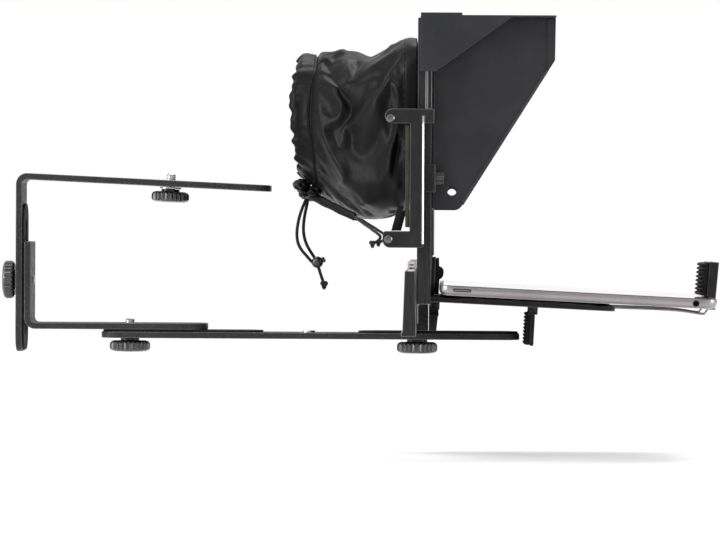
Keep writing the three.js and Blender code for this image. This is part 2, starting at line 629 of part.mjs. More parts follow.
function tube(points, radius, steps) {
  const curve = new THREE.CatmullRomCurve3(points.map((p) => new THREE.Vector3(...p)), false, 'centripetal');
  const section = new THREE.Shape();
  for (let side = 0; side < CORD_SIDES; side += 1) {
    const angle = (2 * Math.PI * side) / CORD_SIDES;
    const point = [radius * Math.cos(angle), radius * Math.sin(angle)];
    if (side === 0) section.moveTo(...point);
    else section.lineTo(...point);
  }
  return new THREE.ExtrudeGeometry(section, { steps, extrudePath: curve, bevelEnabled: false });
}

const LOCK_CENTRE = [5.2, 0, 48.5];
const LOCK_RADIUS = 3.8;

const DRAWSTRING_REAR = [
  [-2.6, -1.6, 87.4], [-4.4, -1.8, 83], [-6.2, -2, 77.5], [-7.4, -2.1, 71.5], [-7.8, -2.1, 65.5],
  [-6.9, -1.9, 60.3], [-4.6, -1.6, 56], [-1.6, -1.3, 52.6], [1.0, -1.2, 49.6],
];
const DRAWSTRING_FRONT = [
  [-1.4, 1.6, 86.4], [-2.2, 1.7, 82.5], [-3.3, 1.8, 76.5], [-3.8, 1.8, 70.5], [-3.3, 1.7, 65],
  [-1.9, 1.6, 60.3], [0.2, 1.4, 56.3], [2.7, 1.1, 52.5],
];
const DRAWSTRING_TAIL = [[6.3, 0, 44.3], [7.0, 0, 42], [7.9, 0, 39.3], [8.8, 0, 36.8], [9.5, 0, 34.6]];
const ELASTIC = [
  [30, 44, 77.3], [33, 60, 75.2], [37.5, 78, 72.2], [42, 94, 69.2], [45.6, 105.5, 66.7],
  [47, 109, 64.9], [45.8, 109.8, 62.9], [43.2, 109.6, 61.2],
];

function buildCords() {
  add(rig, 'drawstring_rear', tube(DRAWSTRING_REAR, CORD_RADIUS, 18), FINISH.cord);
  add(rig, 'drawstring_front', tube(DRAWSTRING_FRONT, CORD_RADIUS, 16), FINISH.cord);
  const knot = new THREE.SphereGeometry(2.2, 12, 8).translate(...DRAWSTRING_TAIL.at(-1));
  const tail = join(toSolid(tube(DRAWSTRING_TAIL, CORD_RADIUS, 8)), toSolid(knot));
  add(rig, 'drawstring_tail', toGeometry(tail), FINISH.cord);
  const ball = new THREE.SphereGeometry(LOCK_RADIUS, 16, 12).rotateX(Math.PI / 2);
  add(rig, 'cord_lock', ball, FINISH.plastic).position.set(...LOCK_CENTRE);

  SIDES.forEach(([word, side]) => {
    const route = ELASTIC.map(([x, y, z]) => [x, side * y, z]);
    add(rig, `elastic_cord_${word}`, tube(route, CORD_RADIUS * 0.9, 18), FINISH.cord);
    const strap = polygon([[53.6, 68.9], [57.2, 68.9], [61.2, 84], [57.6, 84]]);
    add(rig, `arm_strap_${word}`, alongY(strap, ...sideRange(side, 107.6, 108.4)), FINISH.fabric);
  });
}

// ---------------------------------------------------------------- tablet tray
function ribbedPad(face, back, z0, z1, pitch) {
  const depth = (back - face) * 0.45;
  const points = [[back, z0]];
  const count = Math.round((z1 - z0) / pitch);
  for (let rib = 0; rib < count; rib += 1) {
    const z = z0 + ((z1 - z0) * rib) / count;
    const step = (z1 - z0) / count;
    points.push([face + depth, z + 0.02 * step], [face, z + 0.3 * step], [face, z + 0.65 * step],
      [face + depth, z + 0.98 * step]);
  }
  points.push([back, z1]);
  return polygon(points);
}

// Outlines in the tray's own X-Z frame.
const FIXED_RUBBER = [
  [-0.3, 7], [2.2, 7], [2.2, 16.4], [3.6, 17.2], [4.6, 19], [4.6, 22], [3.4, 23.8], [1.6, 24.4], [1.2, 29.8],
  [-0.3, 29.8],
];
const FAR_JAW = [
  [169.8, 6.5], [176, 6.5], [176, 14.7], [176.9, 36.4], [171, 36.4], [170.2, 14.7], [172.4, 14.7], [172.4, 7.8],
  [169.8, 7.8],
];
const FAR_PAD = { face: 166.1, back: 169.85, z: [15, 35.8], pitch: 2.6, lean: 0.8 };
const WIRE_ROUTE = [
  [78, WIRE_Z], [100, WIRE_Z], [116, 4.7], [140, 5.1], [154, 4.9], [163, 4.1], [168.6, 3.5], [170.5, 3.9],
  [171.2, 4.9], [171.2, 6.2],
];

function buildTrayPlate(tray) {
  const { start, end, bottom } = TRAY_FLOOR;
  const floor = roundedRect(start, end, -TRAY_HALF, TRAY_HALF, [1, 8, 8, 1]);
  floor.holes = SIDES.map(([, side]) => roundedRect(16, 98, ...sideRange(side, 40, 76), 5));
  const lug = box(-3, 3.2, -8.5, 8.5, -3, TRAY_TOP - 1);
  const pins = rod('y', [0, 0, 0], 1.5, -13.8, 13.8, 14);
  const wireBores = SIDES.map(([, side]) => (
    toSolid(rod('x', [0, side * WIRE_Y, WIRE_Z], WIRE_RADIUS + SLIDE_GAP, 70, end + 1, 14))));
  const ears = SIDES.map(([, side]) => toSolid(box(59.5, 65.1, ...sideRange(side, 22.6, 26), -2.6, 4)));
  const earBores = toSolid(rod('y', [FOLD_PIN.x, 0, FOLD_PIN.z], 1.3, -27, 27, 14));
  const plate = cut(join(toSolid(alongZ(floor, bottom, TRAY_TOP, 4)), toSolid(lug), toSolid(pins), ...ears),
    ...wireBores, earBores);
  add(tray, 'tray_plate', toGeometry(plate), FINISH.plastic);
  add(tray, 'tray_pad', alongZ(roundedRect(12, 108, -10, 10, 3), TRAY_TOP, TRAY_TOP + 1.8, 3), FINISH.rubber);
}

function buildJaws(tray) {
  const fixed = roundedRect(-JAW_HALF, JAW_HALF, TRAY_TOP + SLIDE_GAP, 30.3, [0, 0, 4, 4]);
  add(tray, 'fixed_jaw', alongX(fixed, TRAY_FLOOR.start, -0.6, 4), FINISH.plastic);
  const grip = alongY(polygon(FIXED_RUBBER), 1 - JAW_HALF, JAW_HALF - 1);
  add(tray, 'fixed_jaw_rubber', grip, FINISH.rubber);

  add(tray, 'far_jaw', alongY(polygon(FAR_JAW), -FAR_JAW_HALF, FAR_JAW_HALF), FINISH.plastic);
  const [padBottom, padTop] = FAR_PAD.z;
  const padHeight = padTop - padBottom;
  const ribs = ribbedPad(FAR_PAD.face, FAR_PAD.back, 0, padHeight, FAR_PAD.pitch);
  const farRubber = alongY(ribs, 1 - FAR_JAW_HALF, FAR_JAW_HALF - 1);
  farRubber.applyMatrix4(new THREE.Matrix4().makeShear(0, 0, 0, 0, FAR_PAD.lean / padHeight, 0));
  add(tray, 'far_jaw_rubber', farRubber.translate(0, 0, padBottom), FINISH.rubber);
  SIDES.forEach(([word, side]) => {
    const route = WIRE_ROUTE.map(([x, z]) => [x, side * WIRE_Y, z]);
    add(tray, `wire_rod_${word}`, tube(route, WIRE_RADIUS, 26), FINISH.steel);
  });

  const folded = roundedRect(61, 63.6, -22.5, 1, 1);
  const pin = rod('y', [FOLD_PIN.x, 0, FOLD_PIN.z], 1, -25.7, 25.7, 14);
  const foldedBody = join(toSolid(alongY(folded, -22, 22, 3)), toSolid(pin));
  add(tray, 'folding_jaw', toGeometry(foldedBody), FINISH.plastic);
  const foldedRubber = alongY(ribbedPad(57.2, 60.95, -22, -1.6, 2.2), -21, 21);
  add(tray, 'folding_jaw_rubber', foldedRubber, FINISH.rubber);
}

function buildTablet(tray) {
  const end = TABLET.start + TABLET.length;
  const height = TABLET.top - TABLET.bottom;
  const round = 3.4;
  const outline = roundedRect(TABLET.start + round, end - round, round - TABLET.half, TABLET.half - round,
    TABLET.corner - round);
  const shell = new THREE.ExtrudeGeometry(outline, {
    depth: 2 * (height - round), bevelThickness: round, bevelSize: round, bevelSegments: 3, curveSegments: 4,
  }).translate(0, 0, TABLET.bottom + round);
  const upper = box(0, end + 5, -130, 130, TABLET.top, TABLET.top + 20);
  const pocket = alongZ(roundedRect(TABLET.start + 2, end - 2, 2 - TABLET.half, TABLET.half - 2, 7),
    TABLET.top - 0.9, TABLET.top + 1, 5);
  const socket = rod('y', [158.9, 0, 11], 1.75, -TABLET.half - 1, 4 - TABLET.half, 16);
  const button = box(11.4, 21.8, -TABLET.half - 0.35, 3 - TABLET.half, 10.9, 12.1);
  const body = join(cut(toSolid(shell), toSolid(upper), toSolid(pocket), toSolid(socket)), toSolid(button));
  add(tray, 'tablet_body', toGeometry(body), FINISH.tablet);
  const screen = alongZ(roundedRect(TABLET.start + 2.3, end - 2.3, 2.3 - TABLET.half, TABLET.half - 2.3, 6.7),
    TABLET.top - 0.6, TABLET.top, 5);
  add(tray, 'tablet_screen', screen, FINISH.screen);
}

function buildTrayUpright() {
  const { x, z } = TRAY_PIVOT;
  const base = polygon([[76.4, RISER_BOTTOM], [81.2, RISER_BOTTOM], [82.3, 16], [76.4, 16]]);
  const stem = polygon([[76.4, 15], [82.3, 15], [82.7, z], [76.4, z]]);
  const ears = SIDES.map(([, side]) => {
    const range = sideRange(side, 9, 14);
    return join(toSolid(alongY(stem, ...range)), toSolid(rod('y', [x, 0, z], 2.8, ...range, 20)));
  });
  const bore = rod('y', [x, 0, z], 1.8, -15, 15, 14);
  const body = join(toSolid(alongY(base, -18, 18)), ...ears);
  add(rig, 'tray_upright', toGeometry(cut(body, toSolid(bore))), FINISH.plastic);
}

function buildTray() {
  const tray = new THREE.Group();
  tray.position.set(TRAY_PIVOT.x, 0, TRAY_PIVOT.z);
  tray.rotation.y = TRAY_SLOPE;
  rig.add(tray);
  buildTrayPlate(tray);
  buildJaws(tray);
  buildTablet(tray);
}

buildBase();
buildCameraBracket();
buildThumbscrews();
buildMast();
buildSideFittings();
buildGlass();
buildHood();
buildSleeve();
buildCords();
buildTrayUpright();
buildTray();

export default rig;
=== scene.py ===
"""Looks of the tablet teleprompter rig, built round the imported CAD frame.

Metres. X runs from the camera end to the tablet end, -Y is the near side, Z is up.
Lengths written in millimetres are multiplied by MM.
"""

import json
import math

import bmesh
import bpy
import numpy as np
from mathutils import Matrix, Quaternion, Vector, noise


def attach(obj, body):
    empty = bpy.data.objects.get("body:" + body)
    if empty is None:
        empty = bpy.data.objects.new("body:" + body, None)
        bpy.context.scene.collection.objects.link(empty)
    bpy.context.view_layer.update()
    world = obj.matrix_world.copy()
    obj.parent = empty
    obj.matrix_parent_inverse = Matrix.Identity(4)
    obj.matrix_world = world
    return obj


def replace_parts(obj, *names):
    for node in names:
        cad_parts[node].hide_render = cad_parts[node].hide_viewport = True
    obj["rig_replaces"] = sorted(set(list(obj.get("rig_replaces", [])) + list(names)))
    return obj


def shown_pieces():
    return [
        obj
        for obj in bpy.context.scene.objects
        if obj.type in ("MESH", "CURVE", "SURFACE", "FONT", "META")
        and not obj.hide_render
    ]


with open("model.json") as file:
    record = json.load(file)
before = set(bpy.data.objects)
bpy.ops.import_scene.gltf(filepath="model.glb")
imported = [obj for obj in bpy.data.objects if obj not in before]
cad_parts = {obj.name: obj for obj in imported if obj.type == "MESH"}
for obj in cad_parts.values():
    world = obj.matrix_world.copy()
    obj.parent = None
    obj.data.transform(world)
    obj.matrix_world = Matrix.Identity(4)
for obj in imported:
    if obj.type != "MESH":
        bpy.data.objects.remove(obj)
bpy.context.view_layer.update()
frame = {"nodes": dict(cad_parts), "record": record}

MM = 0.001
NODES = frame["nodes"]
BODIES = frame["record"]["behaviour"]["bodies"]
BODY_OF = {node: body for body, nodes in BODIES.items() for node in nodes}
SLOT_OF = {row["node"]: row["material_slot"] for row in frame["record"]["subparts"]}
SIDES = (("left", -1), ("right", 1))
EYE = (0.0896, -2.75, 0.0692)
AIM = (0.0324, 0.0, 0.0428)
CAMERA_ROLL = 0.3    # degrees
FOCAL_LENGTH = 216.2
FLOOR_Z = -0.075


# ---------------------------------------------------------------- camera
def make_camera():
    data = bpy.data.cameras.new("camera")
    camera = bpy.data.objects.new("camera", data)
    bpy.context.scene.collection.objects.link(camera)
    roll = Quaternion((0, 0, 1), math.radians(CAMERA_ROLL))
    camera.location = EYE
    camera.rotation_mode = "QUATERNION"
    camera.rotation_quaternion = (Vector(AIM) - Vector(EYE)).to_track_quat("-Z", "Y") @ roll
    data.sensor_width = 36
    data.lens = FOCAL_LENGTH
    data.clip_start = 0.05
    data.clip_end = 100
    bpy.context.scene.camera = camera


make_camera()


# ---------------------------------------------------------------- materials
class Look:
    """A principled material, built up texture by texture. Texture sizes are in millimetres."""

    def __init__(self, name, color, roughness, metallic=0.0, specular=0.5, **sockets):
        self.material = bpy.data.materials.new(name)
        self.material.use_nodes = True
        self.tree = self.material.node_tree
        self.shader = self.tree.nodes["Principled BSDF"]
        self.shader.inputs["Base Color"].default_value = (*color, 1)
        self.shader.inputs["Roughness"].default_value = roughness
        self.shader.inputs["Metallic"].default_value = metallic
        self.shader.inputs["Specular IOR Level"].default_value = specular
        for socket, value in sockets.items():
            self.shader.inputs[socket.replace("_", " ")].default_value = value
        self.color = (*color, 1)
        self.normal = None

    def link(self, start, end):
        self.tree.links.new(start, end)
        return self

    def node(self, kind, **values):
        made = self.tree.nodes.new(kind)
        for key, value in values.items():
            if hasattr(made, key):
                setattr(made, key, value)
            else:
                made.inputs[key].default_value = value
        return made

    def texture(self, kind, size, stretch=(1, 1, 1), coords="Object", turn=(0, 0, 0), **values):
        where = self.node("ShaderNodeTexCoord")
        mapping = self.node("ShaderNodeMapping")
        mapping.inputs["Scale"].default_value = [1 / s for s in stretch]
        mapping.inputs["Rotation"].default_value = [math.radians(a) for a in turn]
        made = self.node(kind)
        scale = 1000 / size if coords == "Object" else 1 / size
        made.inputs["Scale"].default_value = scale
        for key, value in values.items():
            if key in made.inputs:
                made.inputs[key].default_value = value
            else:
                setattr(made, key, value)
        self.link(where.outputs[coords], mapping.inputs["Vector"])
        self.link(mapping.outputs["Vector"], made.inputs["Vector"])
        return made.outputs["Fac"]

    def ranged(self, value, low, high, out_low, out_high):
        made = self.node("ShaderNodeMapRange")
        for key, number in zip(("From Min", "From Max", "To Min", "To Max"), (low, high, out_low, out_high)):
            made.inputs[key].default_value = number
        self.link(value, made.inputs["Value"])
        return made.outputs["Result"]

    def tint(self, value, low, high, color):
        """Blends towards another colour where the texture runs from low to high."""
        mix = self.node("ShaderNodeMix", data_type="RGBA")
        socket = self.shader.inputs["Base Color"]
        sockets = [s for s in mix.inputs if s.type == "RGBA"]
        if socket.is_linked:
            self.link(socket.links[0].from_socket, sockets[0])
        else:
            sockets[0].default_value = self.color
        sockets[1].default_value = (*color, 1)
        factor = next(s for s in mix.inputs if s.type == "VALUE")
        self.link(self.ranged(value, low, high, 0, 1), factor)
        self.link(next(s for s in mix.outputs if s.type == "RGBA"), socket)
        return self

    def rough(self, value, low, high, smooth, coarse):
        return self.link(self.ranged(value, low, high, smooth, coarse), self.shader.inputs["Roughness"])

    def bump(self, value, strength, depth):
        """Raises the surface by depth millimetres where the texture is 1."""
        made = self.node("ShaderNodeBump", Strength=strength, Distance=depth * MM)
        self.link(value, made.inputs["Height"])
        if self.normal is not None:
            self.link(self.normal, made.inputs["Normal"])
        self.normal = made.outputs["Normal"]
        return self.link(self.normal, self.shader.inputs["Normal"])


NOISE = "ShaderNodeTexNoise"
WAVE = "ShaderNodeTexWave"


def plate_look(name, color, fleck, roughness):
    look = Look(name, color, roughness, specular=0.16)
    grain = look.texture(NOISE, 0.9, Detail=3)
    look.tint(look.texture(NOISE, 45, Detail=4), 0.35, 0.75, [c * 1.5 for c in color])
    look.tint(grain, 0.56, 0.74, fleck)
    look.rough(look.texture(NOISE, 2.5, Detail=4), 0.3, 0.7, roughness - 0.1, roughness + 0.14)
    look.bump(grain, 0.55, 0.1)
    look.bump(look.texture(NOISE, 0.45, Detail=2), 0.4, 0.05)
    return look.material


def brushed_look(name, color, stretch, roughness=0.42, metallic=0.15):
    look = Look(name, color, roughness, metallic=metallic, specular=0.14)
    lines = look.texture(NOISE, 0.7, stretch=stretch, Detail=5)
    look.tint(lines, 0.35, 0.8, [c * 2.4 for c in color])
    look.rough(lines, 0.3, 0.7, roughness - 0.1, roughness + 0.12)
    look.bump(lines, 0.3, 0.05)
    return look.material


def plastic_look(name, color, roughness, grain=0.6, specular=0.13, depth=0.05):
    look = Look(name, color, roughness, specular=specular)
    fine = look.texture(NOISE, grain, Detail=3)
    look.tint(look.texture(NOISE, 9, Detail=5), 0.45, 0.8, [c * 1.6 + 0.001 for c in color])
    look.rough(look.texture(NOISE, 4, Detail=5), 0.3, 0.7, roughness - 0.06, roughness + 0.1)
    look.bump(fine, 0.4, depth)
    return look.material


def rubber_look():
    look = Look("moulded_rubber", (0.006, 0.006, 0.0063), 0.8, specular=0.1)
    grain = look.texture(NOISE, 0.8, Detail=4)
    look.tint(grain, 0.52, 0.78, (0.034, 0.033, 0.032))
    look.rough(look.texture(NOISE, 3, Detail=3), 0.3, 0.7, 0.68, 0.92)
    look.bump(grain, 0.6, 0.12)
    return look.material


def hood_look():
    look = Look("folded_hood_sheet", (0.0150, 0.0152, 0.0165), 0.5, specular=0.13)
    look.tint(look.texture(NOISE, 26, Detail=6, Roughness=0.6), 0.4, 0.75, (0.0210, 0.0212, 0.0228))
    fine = look.texture(NOISE, 0.7, Detail=3)
    look.tint(fine, 0.6, 0.85, (0.034, 0.034, 0.036))
    look.rough(look.texture(NOISE, 8, Detail=5), 0.3, 0.7, 0.44, 0.62)
    look.bump(look.texture(NOISE, 34, Detail=3), 0.3, 0.9)
    look.bump(fine, 0.35, 0.05)
    return look.material


def cloth_look(name, color, roughness=0.42, sheen=0.03):
    look = Look(name, color, roughness, specular=0.07)
    look.shader.inputs["Sheen Weight"].default_value = sheen
    look.shader.inputs["Sheen Roughness"].default_value = 0.4
    look.shader.inputs["Sheen Tint"].default_value = (0.55, 0.53, 0.56, 1)
    warp = look.texture(NOISE, 0.42, stretch=(1, 1, 9), Detail=2)
    weft = look.texture(NOISE, 0.42, stretch=(9, 1, 1), Detail=2)
    look.tint(warp, 0.5, 0.75, [c * 2.1 for c in color])
    look.tint(weft, 0.58, 0.8, [c * 2.6 for c in color])
    look.rough(look.texture(NOISE, 12, Detail=4), 0.3, 0.7, roughness - 0.06, roughness + 0.1)
    look.bump(warp, 0.4, 0.05)
    look.bump(weft, 0.4, 0.05)
    look.bump(look.texture(NOISE, 5, stretch=(1, 1, 2.5), Detail=3), 0.3, 0.35)
    return look.material


def cord_look():
    look = Look("braided_cord", (0.006, 0.006, 0.0063), 0.7, specular=0.1)
    look.shader.inputs["Sheen Weight"].default_value = 0.06
    look.shader.inputs["Sheen Roughness"].default_value = 0.5
    one = look.texture(WAVE, 0.16, coords="UV", turn=(0, 0, 38), Distortion=0.4)
    two = look.texture(WAVE, 0.16, coords="UV", turn=(0, 0, -38), Distortion=0.4)
    look.tint(one, 0.45, 0.9, (0.022, 0.0215, 0.0225))
    look.bump(one, 0.6, 0.12)
    look.bump(two, 0.6, 0.12)
    return look.material


def steel_look(name, color, roughness):
    look = Look(name, color, roughness, metallic=1.0)
    grain = look.texture(NOISE, 0.6, stretch=(3, 1, 1), Detail=4)
    look.tint(look.texture(NOISE, 6, Detail=4), 0.4, 0.8, [c * 0.72 for c in color])
    look.rough(grain, 0.3, 0.7, roughness - 0.08, roughness + 0.12)
    look.bump(grain, 0.2, 0.03)
    return look.material


def glass_look():
    look = Look("beam_splitter_glass", (0.84, 0.9, 0.9), 0.02, specular=0.9)
    look.shader.inputs["Transmission Weight"].default_value = 0.86
    look.shader.inputs["IOR"].default_value = 1.52
    look.shader.inputs["Coat Weight"].default_value = 0.6
    look.shader.inputs["Coat Roughness"].default_value = 0.02
    look.rough(look.texture(NOISE, 30, Detail=6), 0.45, 0.8, 0.01, 0.06)
    return look.material


def tablet_look():
    look = Look("anodised_shell", (0.235, 0.215, 0.224), 0.3, metallic=1.0)
    blast = look.texture(NOISE, 0.35, Detail=2)
    look.tint(look.texture(NOISE, 30, Detail=5), 0.4, 0.7, (0.20, 0.182, 0.19))
    look.rough(blast, 0.3, 0.7, 0.24, 0.36)
    look.bump(blast, 0.3, 0.02)
    return look.material


def screen_look():
    look = Look("tablet_glass", (0.006, 0.006, 0.008), 0.08, specular=0.6)
    look.shader.inputs["Coat Weight"].default_value = 0.7
    look.shader.inputs["Coat Roughness"].default_value = 0.03
    look.tint(look.texture(NOISE, 18, Detail=7), 0.55, 0.9, (0.012, 0.012, 0.014))
    look.rough(look.texture(NOISE, 14, Detail=8), 0.42, 0.75, 0.05, 0.2)
    return look.material


PLATE = plate_look("powder_coat", (0.0125, 0.0118, 0.0118), (0.055, 0.053, 0.052), 0.5)
# A lighter, glossier copy of the powder coat for the rounded edges: a painted highlight along them.
PLATE_EDGE_HIGHLIGHT = plate_look("powder_coat_painted_edge_highlight", (0.045, 0.044, 0.044), (0.17, 0.17, 0.17), 0.34)
POST = brushed_look("black_anodised", (0.0105, 0.0102, 0.0108), (1, 1, 26))
# A lighter, more metallic copy of the anodising for the rounded edges: a painted highlight along them.
POST_EDGE_HIGHLIGHT = brushed_look("anodised_painted_edge_highlight", (0.07, 0.07, 0.072), (1, 1, 26), roughness=0.28, metallic=0.5)
PLASTIC = plastic_look("grained_plastic", (0.0090, 0.0088, 0.0096), 0.5)
# A lighter, glossier copy of the bracket plastic for the rounded edges: a painted highlight along them.
PLASTIC_EDGE_HIGHLIGHT = plastic_look("plastic_painted_edge_highlight", (0.030, 0.030, 0.032), 0.32, specular=0.3)
TABLET_EDGE = plastic_look("tablet_rim", (0.02, 0.019, 0.02), 0.3, specular=0.3)
# Near-white for the arm brackets' chamfer: a painted highlight, standing in for a bright light reflected along
# that edge.
CHAMFER_PAINTED_HIGHLIGHT = plastic_look("chamfer_painted_highlight", (0.62, 0.62, 0.62), 0.2, specular=0.9, depth=0.01)
KNOB = plastic_look("knob_plastic", (0.008, 0.008, 0.0088), 0.24, grain=1.1, specular=0.5, depth=0.03)
# A lighter copy of the knob plastic for the rounded edges: a painted highlight along them.
KNOB_EDGE_HIGHLIGHT = plastic_look("knob_painted_edge_highlight", (0.03, 0.03, 0.032), 0.24, grain=1.1, specular=0.5, depth=0.02)
BATTEN = plastic_look("batten_strip", (0.026, 0.025, 0.020), 0.6)
RUBBER = rubber_look()
HOOD = hood_look()
# A lighter copy of the hood colour for the hood's rounded edges, its binding and rear hem, also used on the
# batten's edges: a painted highlight along them.
HOOD_EDGE_HIGHLIGHT = plastic_look("hood_fold_painted_highlight", (0.026, 0.026, 0.028), 0.42)
CLOTH = cloth_look("satin_cloth", (0.0019, 0.0018, 0.0019), roughness=0.38)
WEBBING = cloth_look("cloth_tape", (0.006, 0.006, 0.0063), roughness=0.6)
THREAD = plastic_look("sewing_thread", (0.016, 0.016, 0.017), 0.5)
CORD = cord_look()
STEEL = steel_look("zinc_plated_steel", (0.46, 0.46, 0.47), 0.32)
WIRE = steel_look("spring_wire", (0.20, 0.20, 0.21), 0.36)
SCREW = steel_look("blackened_screw", (0.13, 0.125, 0.12), 0.16)
# Light grey for the top of the cross beam's shoulders: a painted highlight where the sloped top reflects light.
BEAM_TOP_PAINTED_HIGHLIGHT = plastic_look("beam_top_painted_highlight", (0.62, 0.58, 0.59), 0.4, specular=0.5, depth=0.02)
GLASS = glass_look()
TABLET = tablet_look()
SCREEN = screen_look()

# Slot: material, material of the rounded edges, width of the rounding in millimetres. For plates, posts,
# brackets, knobs and the hood, the edge material is a lighter copy that paints a highlight along the edges.
FINISHES = {
    "plate_steel": (PLATE, PLATE_EDGE_HIGHLIGHT, 0.45),
    "friction_rubber": (RUBBER, None, 0.25),
    "bright_steel": (STEEL, None, 0.15),
    "screw_steel": (SCREW, None, 0.1),
    "knob_plastic": (KNOB, KNOB_EDGE_HIGHLIGHT, 0.28),
    "post_metal": (POST, POST_EDGE_HIGHLIGHT, 0.35),
    "bracket_plastic": (PLASTIC, PLASTIC_EDGE_HIGHLIGHT, 0.4),
    "batten": (BATTEN, HOOD_EDGE_HIGHLIGHT, 0.25),
    "hood_sheet": (HOOD, HOOD_EDGE_HIGHLIGHT, 0.3),
    "sleeve_fabric": (WEBBING, None, 0.15),
    "coated_glass": (GLASS, None, 0.2),
    "tablet_shell": (TABLET, TABLET_EDGE, 0.4),
    "tablet_glass": (SCREEN, None, 0.12),
}


# ---------------------------------------------------------------- pieces
def place(name, mesh, material, body):
    piece = bpy.data.objects.new(name, mesh)
    bpy.context.scene.collection.objects.link(piece)
    if material is not None:
        mesh.materials.append(material)
    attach(piece, body)
    return piece


def mesh_of(name, points, faces, smooth=True):
    mesh = bpy.data.meshes.new(name)
    mesh.from_pydata([tuple(p) for p in points], [], faces)
    mesh.polygons.foreach_set("use_smooth", [smooth] * len(mesh.polygons))
    mesh.update()
    return mesh


def soften(piece, width, edge_slot=0, segments=2):
    bevel = piece.modifiers.new("rounding", "BEVEL")
    bevel.width = width * MM
    bevel.segments = segments
    bevel.limit_method = "ANGLE"
    bevel.angle_limit = math.radians(34)
    bevel.use_clamp_overlap = False
    bevel.miter_outer = "MITER_ARC"
    bevel.material = edge_slot
    weights = piece.modifiers.new("weights", "WEIGHTED_NORMAL")
    weights.weight = 90
    weights.keep_sharp = False


def finished(node, width=None, material=None, edge=None, patch=None):
    """The shape of a CAD node with its edges rounded, in its slot's material.

    patch is a second material and a test on a face's centre in millimetres and its normal.
    """
    slot = SLOT_OF[node]
    own, own_edge, own_width = FINISHES[slot]
    mesh = NODES[node].data.copy()
    mesh.name = node + "_finished"
    mesh.materials.clear()
    bm = bmesh.new()
    bm.from_mesh(mesh)
    bmesh.ops.remove_doubles(bm, verts=bm.verts, dist=0.06 * MM)
    bmesh.ops.dissolve_limit(bm, angle_limit=math.radians(0.7), verts=bm.verts, edges=bm.edges)
    bm.to_mesh(mesh)
    bm.free()
    for polygon in mesh.polygons:
        polygon.use_smooth = True
        polygon.material_index = 0
    piece = place(node + "_finished", mesh, material or own, BODY_OF[node])
    # The rounded edges take the slot's edge material, for most slots a lighter copy that paints a highlight
    # along them.
    rim = edge or own_edge
    if rim is not None:
        mesh.materials.append(rim)
    if patch is not None:
        mesh.materials.append(patch[0])
        for polygon in mesh.polygons:
            if patch[1](polygon.center / MM, polygon.normal):
                polygon.material_index = len(mesh.materials) - 1
    soften(piece, own_width if width is None else width, 1 if rim is not None else 0)
    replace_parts(piece, node)
    return piece


def smooth_line(points, steps):
    """Points on a centripetal Catmull-Rom line through the given ones, evenly spread."""
    p = np.array(points, float)
    p = np.vstack([2 * p[0] - p[1], p, 2 * p[-1] - p[-2]])
    fine = []
    for i in range(1, len(p) - 2):
        a, b, c, d = p[i - 1], p[i], p[i + 1], p[i + 2]
        t0 = 0.0
        t1 = t0 + np.linalg.norm(b - a) ** 0.5
        t2 = t1 + np.linalg.norm(c - b) ** 0.5
        t3 = t2 + np.linalg.norm(d - c) ** 0.5
        for t in np.linspace(t1, t2, 12, endpoint=False):
            a1 = (t1 - t) / (t1 - t0) * a + (t - t0) / (t1 - t0) * b
            a2 = (t2 - t) / (t2 - t1) * b + (t - t1) / (t2 - t1) * c
            a3 = (t3 - t) / (t3 - t2) * c + (t - t2) / (t3 - t2) * d
            b1 = (t2 - t) / (t2 - t0) * a1 + (t - t0) / (t2 - t0) * a2
            b2 = (t3 - t) / (t3 - t1) * a2 + (t - t1) / (t3 - t1) * a3
            fine.append((t2 - t) / (t2 - t1) * b1 + (t - t1) / (t2 - t1) * b2)
    fine.append(p[-2])
    fine = np.array(fine)
    along = np.concatenate([[0], np.cumsum(np.linalg.norm(np.diff(fine, axis=0), axis=1))])
    at = np.linspace(0, along[-1], steps)
    return np.stack([np.interp(at, along, fine[:, k]) for k in range(3)], axis=1)


def swept(name, line, radius, sides=12, flat=1.0, up=None):
    """A closed tube along a line, with a UV that runs round it and along it. radius may vary."""
    line = np.array(line, float)
    count = len(line)
    radii = np.broadcast_to(np.array(radius, float), (count,))
    tangents = np.gradient(line, axis=0)
    tangents /= np.linalg.norm(tangents, axis=1)[:, None]
    side = np.cross(tangents[0], (0, 0, 1) if up is None else up)
    if np.linalg.norm(side) < 1e-6:
        side = np.cross(tangents[0], (0, 1, 0))
    points, rings = [], []
    for i in range(count):
        side = side - tangents[i] * (side @ tangents[i])
        side /= np.linalg.norm(side)
        other = np.cross(tangents[i], side)
        ring = []
        for j in range(sides):
            a = 2 * math.pi * j / sides
            ring.append(len(points))
            points.append(line[i] + radii[i] * (math.cos(a) * side * flat + math.sin(a) * other))
        rings.append(ring)
    faces = []
    for low, high in zip(rings[:-1], rings[1:]):
        for j in range(sides):
            k = (j + 1) % sides
            faces.append((low[j], low[k], high[k], high[j]))
    faces.append(tuple(reversed(rings[0])))
    faces.append(tuple(rings[-1]))
    mesh = mesh_of(name, points, faces)
    step = float(np.linalg.norm(np.diff(line, axis=0), axis=1).mean())
    around = 2 * math.pi * float(radii.mean())
    uv = mesh.uv_layers.new(name="around_along")
    for polygon in mesh.polygons:
        index = polygon.index
        for corner, loop in enumerate(polygon.loop_indices):
            if index < (count - 1) * sides:
                row, column = divmod(index, sides)
                u = (column + (corner in (1, 2))) / sides
                v = (row + (corner in (2, 3))) * step / around
                uv.data[loop].uv = (u, v)
    return mesh


def joined(name, meshes):
    """One mesh from several."""
    bm = bmesh.new()
    for mesh in meshes:
        bm.from_mesh(mesh)
    out = bpy.data.meshes.new(name)
    bm.to_mesh(out)
    bm.free()
    out.polygons.foreach_set("use_smooth", [True] * len(out.polygons))
    return out


